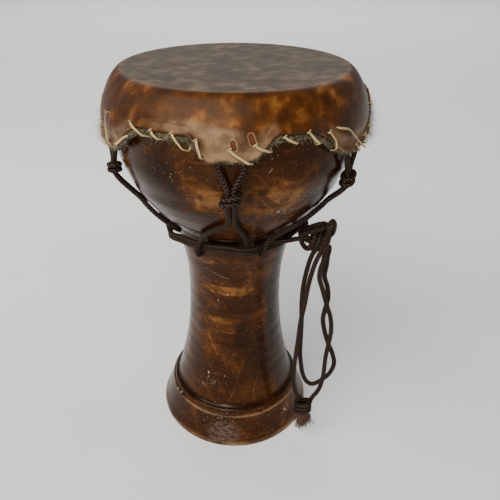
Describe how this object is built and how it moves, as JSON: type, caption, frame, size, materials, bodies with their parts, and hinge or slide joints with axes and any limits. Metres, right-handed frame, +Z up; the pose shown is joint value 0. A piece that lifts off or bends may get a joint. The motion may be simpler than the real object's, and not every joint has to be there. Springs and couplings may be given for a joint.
{
  "type": "goblet drum",
  "caption": "Small goblet drum: turned, lacquered wooden shell with a whip-stitched rawhide head, tensioned by a braided cord hooked to a waist cord with knotted hanging ends.",
  "frame": {"origin": "on the shell's axis, at the plane the foot stands on", "axes": "+Z up along the shell's axis, -Y towards the front, +X to the right, where the tie knot and its hanging ends are"},
  "size_m": [0.1591, 0.1588, 0.26],
  "materials": {
    "lacquered_wood": "glossy dark lacquer over turned wood, worn at the edges",
    "rawhide": "mottled, oiled rawhide",
    "lace_hide": "dry pale rawhide lace",
    "braided_cord": "dark round braid"
  },
  "bodies": {
    "root": {"shell": "lacquered_wood", "drum_head": "rawhide", "hem_lace": "lace_hide", "tension_cord": "braided_cord", "waist_cord": "braided_cord", "gather_collar_1": "braided_cord", "gather_collar_2": "braided_cord", "gather_collar_3": "braided_cord", "gather_collar_4": "braided_cord", "gather_collar_5": "braided_cord", "gather_collar_6": "braided_cord", "tie_knot": "braided_cord", "bow_loop": "braided_cord", "left_tail": "braided_cord", "right_tail": "braided_cord", "tassel_knot": "braided_cord"}
  },
  "joints": []
}
